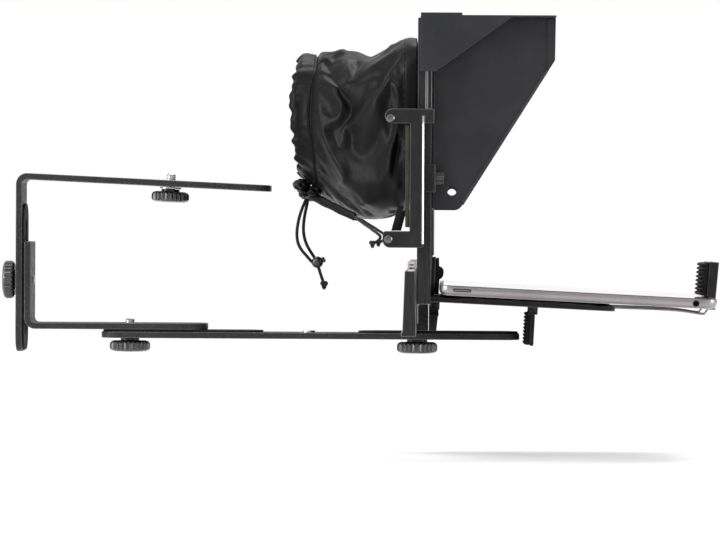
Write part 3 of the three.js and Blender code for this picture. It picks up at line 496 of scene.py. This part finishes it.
# ---------------------------------------------------------------- free cords
# Routes in millimetres. Each drawstring starts inside the gathered cloth, above its CAD route.
LINE_MM = {
    "drawstring_rear": [
        (-1.0, -1.4, 91.3), (-2.6, -1.6, 87.4), (-4.4, -1.8, 83), (-6.2, -2, 77.5), (-7.4, -2.1, 71.5),
        (-7.8, -2.1, 65.5),
        (-6.9, -1.9, 60.3), (-4.6, -1.6, 56), (-1.6, -1.3, 52.6), (1.0, -1.2, 49.6), (3.3, -0.9, 47.6),
        (5.2, -0.4, 46.0), (6.3, 0, 44.3), (7.0, 0, 42), (7.9, 0, 39.3), (8.8, 0, 36.8), (9.4, 0, 34.9),
    ],
    "drawstring_front": [
        (-0.5, 1.45, 90.6), (-1.4, 1.6, 86.4), (-1.8, 1.66, 84.4), (-2.2, 1.7, 82.5), (-2.8, 1.76, 79.5),
        (-3.3, 1.8, 76.5),
        (-3.65, 1.8, 73.5), (-3.8, 1.8, 70.5), (-3.7, 1.77, 67.7), (-3.3, 1.7, 65), (-2.7, 1.65, 62.6),
        (-1.9, 1.6, 60.3), (-0.9, 1.5, 58.2), (0.2, 1.4, 56.3), (1.4, 1.25, 54.4), (2.7, 1.1, 52.5),
        (3.6, 0.8, 51.0), (4.6, 0.5, 49.4),
    ],
}
ELASTIC_MM = [
    (30, 44, 77.3), (31.4, 52, 76.3), (33, 60, 75.2), (35.1, 69, 73.8), (37.5, 78, 72.2), (39.8, 86, 70.8),
    (42, 94, 69.2), (44, 100.4, 67.9), (45.6, 105.5, 66.7), (46.7, 107.9, 65.8), (47, 109, 64.9),
    (46.7, 109.6, 63.9), (45.8, 109.8, 62.9), (44.6, 109.75, 62.0), (43.2, 109.6, 61.2),
]


def cord_piece(name, route, radius, steps):
    line = smooth_line(np.array(route) * MM, steps)
    piece = place(name, swept(name, line, radius * MM, sides=14), CORD, "mast")
    return piece, line


def knot_mesh(name, centre, size, thick, fray):
    """A small pulled-tight knot with its frayed end hanging below it."""
    turns = np.linspace(0, 2 * math.pi, 46)
    loop = np.stack([
        (np.sin(turns) + 1.6 * np.sin(2 * turns)) * 0.36,
        -np.sin(3 * turns) * 0.42,
        (np.cos(turns) - 1.6 * np.cos(2 * turns)) * 0.42,
    ], axis=1) * size
    meshes = [swept(name + "_loop", (loop + centre) * MM, thick * MM, sides=10)]
    for i in range(9):
        lean = 2 * math.pi * i / 9
        out = 0.9 + 0.5 * math.sin(3.1 * i)
        strand = [
            centre + np.array((0.3 * math.cos(lean), 0.3 * math.sin(lean), -size * 0.7)),
            centre + np.array((0.6 * math.cos(lean), 0.6 * math.sin(lean), -size - fray * 0.35)),
            centre + np.array((out * math.cos(lean), out * math.sin(lean), -size * 0.9 - fray)),
        ]
        fine = smooth_line(np.array(strand) * MM, 7)
        meshes.append(swept(f"{name}_fray_{i}", fine, np.linspace(0.26, 0.09, 7) * MM, sides=5))
    return joined(name, meshes)


def make_cords():
    lock = finished("cord_lock", width=0.05, material=KNOB)
    button = swept("lock_button", smooth_line(np.array([
        (8.6, -0.1, 49.9), (9.3, -0.1, 50.25), (10.1, -0.1, 50.65)]) * MM, 5),
        np.array([1.9, 1.9, 1.85, 1.7, 1.2]) * MM, sides=20)
    button = place("cord_lock_button", button, KNOB, "mast")
    rear, line = cord_piece("drawstring_long", LINE_MM["drawstring_rear"], 1.0, 60)
    knot = place("drawstring_knot", knot_mesh("drawstring_knot", np.array((9.6, 0, 34.4)), 1.9, 0.95, 1.6),
                 CORD, "mast")
    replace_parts(rear, "drawstring_rear", "drawstring_tail")
    front, line = cord_piece("drawstring_short", LINE_MM["drawstring_front"], 1.0, 46)
    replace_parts(front, "drawstring_front")
    for word, side in SIDES:
        route = [(x, side * y, z) for x, y, z in ELASTIC_MM]
        piece, line = cord_piece(f"elastic_{word}", route, 0.9, 70)
        end = place(f"elastic_knot_{word}",
                    knot_mesh(f"elastic_knot_{word}", np.array((42.2, side * 109.4, 60.9)), 1.6, 0.8, 1.3),
                    CORD, "mast")
        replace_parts(piece, f"elastic_cord_{word}")


make_cords()


# ---------------------------------------------------------------- lens sleeve
# x, highest point, lowest point, half width, squareness of the section; millimetres.
SLEEVE = np.array([
    (-11.5, 176.5, 105.5, 36.0, 2.0),
    (-9.0, 180.2, 102.0, 38.5, 2.0),
    (-5.0, 181.4, 99.5, 40.0, 2.0),
    (0.0, 180.8, 96.8, 42.0, 2.1),
    (4.0, 180.6, 94.2, 44.5, 2.2),
    (9.0, 183.0, 91.2, 51.0, 2.3),
    (15.0, 185.2, 88.2, 58.5, 2.5),
    (22.0, 186.4, 84.4, 66.5, 2.8),
    (30.0, 185.4, 79.6, 73.5, 3.1),
    (38.0, 182.6, 77.6, 80.0, 3.5),
    (46.0, 184.6, 78.4, 85.5, 4.0),
    (55.0, 187.0, 80.6, 90.5, 4.8),
    (63.0, 189.6, 82.2, 94.0, 6.0),
    (68.5, 188.8, 82.0, 95.0, 8.0),
])
ROUND = 168          # points round the cloth
ALONG = 64           # rows from the mouth to the frame
MOUTH_X = -11.5
SLEEVE_LENGTH = 80
HEM_X = 4.0          # seam of the drawstring channel
FRONT_HEM_X = 60.5   # stitching of the hem on the frame
SETTLE_FRAMES = 18
SETTLE_LIMIT = 4     # furthest that the simulation moves a point
CLOTH_THICKNESS = 0.5

# Folds: points (x, z) along the fold, height outwards, width; millimetres. The far side has the
# same ones, a little shifted.
FOLDS = [
    ([(30, 176), (28.5, 158), (27, 138), (31, 122), (38, 108), (51, 96)], -7.5, 7.5),
    ([(36, 176), (39, 160), (43, 140), (48, 118), (55, 98)], 5.0, 6.0),
    ([(6, 165), (13, 158), (19, 148), (17, 139), (9, 133)], 4.0, 3.6),
    ([(4, 136), (11, 128), (16, 118), (23.5, 106), (18, 93)], 4.2, 4.0),
    ([(12, 148), (12, 140)], -2.4, 4.0),
    ([(10, 118), (12, 106), (10, 98)], -2.4, 3.4),
    ([(24, 181), (25, 169), (21.3, 159)], 2.6, 2.2),
    ([(33, 178), (27.5, 165), (23.2, 158)], 2.6, 2.2),
    ([(57, 138), (53, 122), (50.5, 108), (54.5, 96)], 3.2, 3.6),
    ([(58.5, 150), (49, 166)], 2.0, 3.0),
    ([(59, 126), (58, 108)], -2.4, 3.4),
    ([(20, 92), (34, 88), (48, 90)], 2.2, 4.0),
]

# Band under the cloth, from the gathered mouth out to the elastic cord; millimetres.
HEM_ROUTE = [
    (-1.5, 9, 92.6), (3.5, 15, 90.0), (9.5, 22, 86.9), (16, 29, 83.8), (23, 36.5, 80.3), (30.5, 44, 77.2),
]
# Bunched cloth below the mouth: centre and half sizes; millimetres.
GATHER_LUMPS = [
    ((-4.8, -12.5, 97.4), (4.6, 7.5, 3.6)), ((-1.6, -9.5, 91.9), (5.6, 8.5, 3.1)),
    ((-3.4, 2.5, 95.5), (4.6, 9.0, 3.8)), ((-4.2, 14.5, 97.4), (4.2, 7.0, 3.6)),
    ((0.6, 0.5, 90.6), (4.6, 7.0, 2.8)), ((3.6, -16.5, 93.6), (4.4, 7.0, 3.4)),
    ((3.6, 16.5, 93.6), (4.4, 7.0, 3.4)),
]


def track(xs, ys, x):
    """Smooth interpolation through the points (xs, ys)."""
    slopes = np.gradient(ys, xs)
    i = np.clip(np.searchsorted(xs, x) - 1, 0, len(xs) - 2)
    h = xs[i + 1] - xs[i]
    t = (x - xs[i]) / h
    return ((1 + 2 * t) * (1 - t) ** 2 * ys[i] + t * (1 - t) ** 2 * h * slopes[i]
            + t * t * (3 - 2 * t) * ys[i + 1] + t * t * (t - 1) * h * slopes[i + 1])


def distance_to(line, x, z):
    """Distance from (x, z) to a line of points, and how far along it the nearest point is, 0 to 1."""
    best, where = 1e9, 0.0
    count = len(line) - 1
    for i in range(count):
        ax, az = line[i]
        bx, bz = line[i + 1]
        dx, dz = bx - ax, bz - az
        t = min(1.0, max(0.0, ((x - ax) * dx + (z - az) * dz) / (dx * dx + dz * dz)))
        far = math.hypot(x - ax - t * dx, z - az - t * dz)
        if far < best:
            best, where = far, (i + t) / count
    return best, where


def step(value, low, high):
    t = min(1.0, max(0.0, (value - low) / (high - low)))
    return t * t * (3 - 2 * t)


def sleeve_point(x, angle):
    """A point on the gathered, folded cloth, in millimetres."""
    top, low, half, square = (float(track(SLEEVE[:, 0], SLEEVE[:, k], x)) for k in (1, 2, 3, 4))
    middle, rise = (top + low) / 2, (top - low) / 2
    c, s = math.cos(angle), math.sin(angle)
    r = ((abs(c) / half) ** square + (abs(s) / rise) ** square) ** (-1 / square)
    y, z = r * c, middle + r * s
    normal = Vector((0, y / half ** 2, (z - middle) / rise ** 2)).normalized()
    flat = 1 - step(x, 56, 62)
    body = step(x, HEM_X + 1, HEM_X + 9) * flat
    out = 0.0
    near = step(abs(y) / half, 0.35, 0.75)
    shift = 0.0 if y < 0 else 3.5
    for line, height, width in FOLDS:
        far, where = distance_to(line, x + shift, z + 1.6 * shift)
        taper = 0.35 + 0.65 * math.sin(math.pi * min(0.96, max(0.04, where)))
        out += near * body * height * taper * math.exp(-((far / width) ** 2))
    wander = 0.16 * math.sin(3 * angle + 0.7) + 0.09 * math.sin(5 * angle + 2.1)
    pleat = math.sin(27 * (angle + wander)) + 0.45 * math.sin(41 * angle + 1.3)
    pleat_height = 0.22 + 0.4 * math.exp(-(((x - HEM_X - 4) / 4) ** 2))
    seam = 1 - 0.75 * math.exp(-(((x - HEM_X) / 1.8) ** 2))
    out += pleat * pleat_height * (1 - step(x, 2, 20)) * seam
    out += 0.9 * math.sin(9 * (angle + wander) + 0.4) * step(x, HEM_X, 12) * (1 - step(x, 22, 40))
    out -= 2.1 * math.exp(-(((x - HEM_X) / 1.0) ** 2))
    out -= 0.5 * math.exp(-(((x - FRONT_HEM_X) / 0.7) ** 2))
    spot = Vector((x * 0.055, math.cos(angle) * 3.1, math.sin(angle) * 3.1))
    out += 2.6 * noise.noise(spot) * body
    out += 1.1 * noise.noise(spot * 2.7 + Vector((5, 1, 3))) * body
    edge = 1 - step(x, MOUTH_X, 12)
    lean = (4.8 * max(0.0, (139 - z) / 39) + 3.4 * step(z, 156, 176)) * edge
    lean -= 2.4 * math.exp(-(((z - 140) / 20) ** 2) - ((x - HEM_X) / 7) ** 2)
    ruffle = (0.8 * math.sin(17 * angle + 9 * wander) + 0.5 * math.sin(31 * angle)) * (1 - step(x, MOUTH_X, -5))
    return Vector((x + lean + ruffle, y, z)) + normal * out


def settled(piece, frames):
    """Lets the cloth hang from its two held ends, then keeps the shape it takes, within SETTLE_LIMIT."""
    held = piece.vertex_groups.new(name="held")
    for index in range(len(piece.data.vertices)):
        row = index // ROUND
        x = MOUTH_X + SLEEVE_LENGTH * row / (ALONG - 1)
        weight = max(1 - step(x, 3, 11), step(x, 55, 62))
        held.add([index], weight, "REPLACE")
    cloth = piece.modifiers.new("cloth", "CLOTH")
    settings = cloth.settings
    settings.quality = 7
    settings.mass = 0.12
    settings.tension_stiffness = 18
    settings.compression_stiffness = 12
    settings.shear_stiffness = 6
    settings.bending_stiffness = 1.5
    settings.air_damping = 3
    settings.vertex_group_mass = "held"
    settings.shrink_min = -0.018
    settings.effector_weights.gravity = 0.25
    cloth.collision_settings.use_collision = False
    cloth.collision_settings.use_self_collision = False
    cloth.point_cache.frame_start = 1
    cloth.point_cache.frame_end = frames
    scene = bpy.context.scene
    for number in range(1, frames + 1):
        scene.frame_set(number)
    evaluated = piece.evaluated_get(bpy.context.evaluated_depsgraph_get())
    points = [v.co.copy() for v in evaluated.data.vertices]
    piece.modifiers.remove(cloth)
    scene.frame_set(1)
    for vertex, point in zip(piece.data.vertices, points):
        moved = point - vertex.co
        if moved.length > SETTLE_LIMIT * MM:
            moved *= SETTLE_LIMIT * MM / moved.length
        vertex.co = vertex.co + moved
    piece.vertex_groups.clear()


def stitches(name, points, normals, dash, radius):
    """A row of small sewn dashes along a line of points."""
    meshes = []
    for i in range(0, len(points) - dash, dash + 1):
        run = [Vector(points[i + k]) + Vector(normals[i + k]) * 0.12 * MM for k in range(dash)]
        arch = [p + Vector(n) * 0.16 * MM * math.sin(math.pi * k / (dash - 1))
                for k, (p, n) in enumerate(zip(run, normals[i:i + dash]))]
        meshes.append(swept(f"{name}_{i}", arch, radius * MM, sides=5))
    return joined(name, meshes)


def make_sleeve():
    points, faces = [], []
    for row in range(ALONG):
        x = MOUTH_X + SLEEVE_LENGTH * row / (ALONG - 1)
        for column in range(ROUND):
            points.append(sleeve_point(x, 2 * math.pi * column / ROUND) * MM)
    for row in range(ALONG - 1):
        for column in range(ROUND):
            after = (column + 1) % ROUND
            a, b = row * ROUND + column, row * ROUND + after
            faces.append((a, b, b + ROUND, a + ROUND))
    mesh = mesh_of("sleeve_cloth", points, faces)
    bm = bmesh.new()
    bm.from_mesh(mesh)
    bmesh.ops.recalc_face_normals(bm, faces=bm.faces)
    bm.to_mesh(mesh)
    bm.free()
    cloth = place("sleeve_cloth", mesh, CLOTH, "mast")
    settled(cloth, SETTLE_FRAMES)
    mesh.update()
    outward = -1.0 if mesh.vertices[0].normal.y < 0 else 1.0
    rows = {}
    for key, x in (("channel", HEM_X - 1.4), ("front", FRONT_HEM_X)):
        row = round((x - MOUTH_X) / SLEEVE_LENGTH * (ALONG - 1))
        ring = [row * ROUND + column % ROUND for column in range(ROUND + 1)]
        line = np.array([mesh.vertices[i].co for i in ring])
        normals = np.array([mesh.vertices[i].normal * outward for i in ring])
        count = 4 * ROUND
        at = np.linspace(0, ROUND, count)
        rows[key] = tuple(
            np.stack([np.interp(at, range(ROUND + 1), data[:, k]) for k in range(3)], axis=1)
            for data in (line, normals))
    thread = place("sleeve_stitching", joined("sleeve_stitching", [
        stitches("channel_row", *rows["channel"], 4, 0.17), stitches("front_row", *rows["front"], 4, 0.2)]),
        THREAD, "mast")
    solid = cloth.modifiers.new("thickness", "SOLIDIFY")
    solid.thickness = CLOTH_THICKNESS * MM
    solid.offset = -outward
    solid.use_rim = True
    smooth = cloth.modifiers.new("smooth", "SUBSURF")
    smooth.levels = 1
    smooth.render_levels = 1
    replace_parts(cloth, "lens_sleeve")
    for word, side in SIDES:
        line = smooth_line(np.array([(x, side * y, z) for x, y, z in HEM_ROUTE]) * MM, 48)
        along = np.linspace(0, 1, 48)
        swell = 3.0 - 0.5 * along + 0.12 * np.sin(21 * along)
        swell[0], swell[-1] = 1.6, 1.3
        hem = swept(f"sleeve_hem_{word}", line, swell * MM, sides=16, flat=0.42)
        place(f"sleeve_hem_{word}", hem, CLOTH, "mast")
    lumps = []
    for i, (centre, size) in enumerate(GATHER_LUMPS):
        bm = bmesh.new()
        bmesh.ops.create_icosphere(bm, subdivisions=5, radius=1)
        for vertex in bm.verts:
            spot = vertex.co.copy()
            crumple = 0.34 * noise.noise(spot * 1.6 + Vector((i * 3.1, 0, 0)))
            crumple += 0.09 * math.sin(3.5 * spot.y + 2 * spot.z + 3 * noise.noise(spot) + i)
            spot *= 1 + crumple
            vertex.co = Vector([(c + s * p) * MM for c, s, p in zip(centre, size, spot)])
        lump = bpy.data.meshes.new(f"gather_{i}")
        bm.to_mesh(lump)
        bm.free()
        lumps.append(lump)
    gather = place("sleeve_gather", joined("sleeve_gather", lumps), CLOTH, "mast")


make_sleeve()


# ---------------------------------------------------------------- hood details
def strip(name, outline, y0, y1, material, body, slot, width):
    """A flat plate: an outline in X-Z between two Y values, with rounded edges."""
    bm = bmesh.new()
    low = [bm.verts.new((x * MM, y0 * MM, z * MM)) for x, z in outline]
    high = [bm.verts.new((x * MM, y1 * MM, z * MM)) for x, z in outline]
    count = len(outline)
    for i in range(count):
        j = (i + 1) % count
        bm.faces.new((low[i], low[j], high[j], high[i]))
    bm.faces.new(low)
    bm.faces.new(list(reversed(high)))
    bmesh.ops.recalc_face_normals(bm, faces=bm.faces)
    mesh = bpy.data.meshes.new(name)
    bm.to_mesh(mesh)
    bm.free()
    mesh.polygons.foreach_set("use_smooth", [True] * len(mesh.polygons))
    piece = place(name, mesh, material, body)
    soften(piece, width)
    return piece


HOOD_WALL = 95.2     # outer face of the hood's side wall, from the middle
# Name, outline in X-Z, outer face from the middle, material, rounding; millimetres.
HOOD_STRIPS = (
    ("hood_hem", [(148.6, 166.6), (153.3, 174.3), (153.7, 199.4), (148.6, 199.4)], 95.75, HOOD, 0.18),
    # The binding and the rear hem are in the lighter hood colour, a painted highlight along them.
    ("hood_binding", [(97.4, 86.2), (98.2, 85.9), (153.5, 174.0), (152.2, 174.2), (96.6, 87.4)],
     95.6, HOOD_EDGE_HIGHLIGHT, 0.12),
    ("hood_rear_hem", [(79.0, 84.0), (79.6, 84.0), (79.6, 165.5), (79.0, 165.5)], 95.7, HOOD_EDGE_HIGHLIGHT, 0.12),
)


def make_hood():
    for word, side in SIDES:
        for name, outline, outer, material, width in HOOD_STRIPS:
            faces = sorted((side * HOOD_WALL, side * outer))
            strip(f"{name}_{word}", outline, *faces, material, "hood", "hood_sheet", width)


make_hood()


# ---------------------------------------------------------------- glue behind the jaws' rubber
TRAY_HINGE = (80, 22)                  # X and Z, millimetres
TRAY_COS, TRAY_SIN = 0.99889, 0.04711  # slope of the tray


def tray_point(x, z):
    """A point given along and square to the tray, in world X and Z; millimetres."""
    return (TRAY_HINGE[0] + TRAY_COS * x + TRAY_SIN * z, TRAY_HINGE[1] - TRAY_SIN * x + TRAY_COS * z)


def make_glue():
    layers = (
        ("fixed_jaw_glue", "tray", [(-0.62, 7.2), (-0.28, 7.2), (-0.28, 29.4), (-0.62, 29.4)], 23.6),
        ("far_jaw_glue", "sprung_jaw", [(169.6, 15.4), (170.25, 15.4), (170.95, 35.4), (170.4, 35.4)], 32.4),
    )
    for name, body, outline, half in layers:
        strip(name, [tray_point(x, z) for x, z in outline], -half, half,
              RUBBER, body, "friction_rubber", 0.05)


make_glue()


# ---------------------------------------------------------------- the rest of the frame
STUD_REACH = 3.05              # a little over a stud's radius
ARM_CHAMFER_X = 70             # the chamfer lies beyond this
SHOULDER_Z = 44.3              # the beam's shoulders stand above this
SOCKET_XZ = (239.24, 25.5)
SOCKET_REACH = 1.9
TABLET_SIDE_Y = -110


def stud(point, axis):
    """True for the faces of a screw's bare stud: point is on its axis, at the knob's bearing face."""
    def test(centre, normal):
        away = centre - Vector(point)
        along = away.dot(Vector(axis))
        return along > -0.2 and (away - along * Vector(axis)).length < STUD_REACH
    return test


# Faces of the arm brackets' chamfer, which take the painted highlight.
def chamfer(centre, normal):
    return centre.x > ARM_CHAMFER_X and abs(normal.x) > 0.5 and abs(normal.y) > 0.5


# Faces on the cross beam's shoulders, which take the painted highlight.
def shoulder(centre, normal):
    return centre.z > SHOULDER_Z


def socket(centre, normal):
    away = math.hypot(centre.x - SOCKET_XZ[0], centre.z - SOCKET_XZ[1])
    return centre.y < TABLET_SIDE_Y and away < SOCKET_REACH


SHELF_UP = (0.04536, 0, 0.99897)
PATCHES = {
    "rear_thumbscrew": (STEEL, stud((-113.9, 0, 0), (0, 0, 1))),
    "front_thumbscrew": (STEEL, stud((69, 0, 0), (0, 0, 1))),
    "leg_thumbscrew": (STEEL, stud((-185.6, 0, 36.6), (1, 0, 0))),
    "camera_thumbscrew": (STEEL, stud((-88.42, 0, 94.81), SHELF_UP)),
    # The arm brackets' chamfer is painted near-white as a highlight.
    "arm_bracket_left": (CHAMFER_PAINTED_HIGHLIGHT, chamfer),
    "arm_bracket_right": (CHAMFER_PAINTED_HIGHLIGHT, chamfer),
    # The beam's shoulders are painted light grey as a highlight.
    "cross_beam": (BEAM_TOP_PAINTED_HIGHLIGHT, shoulder),
    "tablet_body": (RUBBER, socket),
}
OWN_WIDTH = {
    "tripod_insert": 0.12, "camera_washer": 0.12, "glass_lock_nut_left": 0.12, "glass_lock_nut_right": 0.12,
    "lower_flap": 0.15, "tray_pad": 0.3, "folding_jaw": 0.25, "fixed_jaw": 0.3,
}
OWN_LOOK = {"wire_rod_left": WIRE, "wire_rod_right": WIRE}
DONE = {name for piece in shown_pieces() for name in piece.get("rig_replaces", [])}
for name in sorted(NODES):
    if name not in DONE:
        finished(name, width=OWN_WIDTH.get(name), material=OWN_LOOK.get(name), patch=PATCHES.get(name))


# ---------------------------------------------------------------- floor, light, background
def make_stage():
    floor = mesh_of("floor", [(-40, -40, 0), (40, -40, 0), (40, 40, 0), (-40, 40, 0)], [(0, 1, 2, 3)])
    piece = bpy.data.objects.new("floor", floor)
    piece.location.z = FLOOR_Z
    bpy.context.scene.collection.objects.link(piece)
    paper = Look("studio_floor", (0.80, 0.80, 0.80), 0.75, specular=0.2)
    paper.tint(paper.texture(NOISE, 400, Detail=3), 0.4, 0.7, (0.785, 0.785, 0.785))
    floor.materials.append(paper.material)

    world = bpy.data.worlds.new("studio")
    bpy.context.scene.world = world
    world.use_nodes = True
    back = world.node_tree.nodes["Background"]
    back.inputs["Color"].default_value = (1.0, 1.0, 1.0, 1)
    back.inputs["Strength"].default_value = 1.0
    bpy.context.scene.view_settings.view_transform = "Standard"

    def sun(name, direction, strength, spread):
        data = bpy.data.lights.new(name, "SUN")
        data.energy = strength
        data.angle = math.radians(spread)
        lamp = bpy.data.objects.new(name, data)
        lamp.rotation_mode = "QUATERNION"
        lamp.rotation_quaternion = Vector(direction).to_track_quat("-Z", "Y")
        bpy.context.scene.collection.objects.link(lamp)

    def softbox(name, place_at, aim, size, power):
        data = bpy.data.lights.new(name, "AREA")
        data.shape = "RECTANGLE"
        data.size, data.size_y = size
        data.energy = power
        lamp = bpy.data.objects.new(name, data)
        lamp.location = place_at
        lamp.rotation_mode = "QUATERNION"
        lamp.rotation_quaternion = (Vector(aim) - Vector(place_at)).to_track_quat("-Z", "Y")
        bpy.context.scene.collection.objects.link(lamp)

    sun("key", (0.45, 0.55, -0.75), 1.2, 24)
    softbox("left_box", (-1.5, -0.5, 0.5), (0.03, 0, 0.08), (0.5, 1.2), 27)
    softbox("right_box", (1.6, -0.35, 0.35), (0.05, 0, 0.08), (0.5, 1.2), 24)
    softbox("top_box", (0.1, 0.5, 1.5), (0.05, 0, 0.1), (1.4, 0.8), 26)


make_stage()
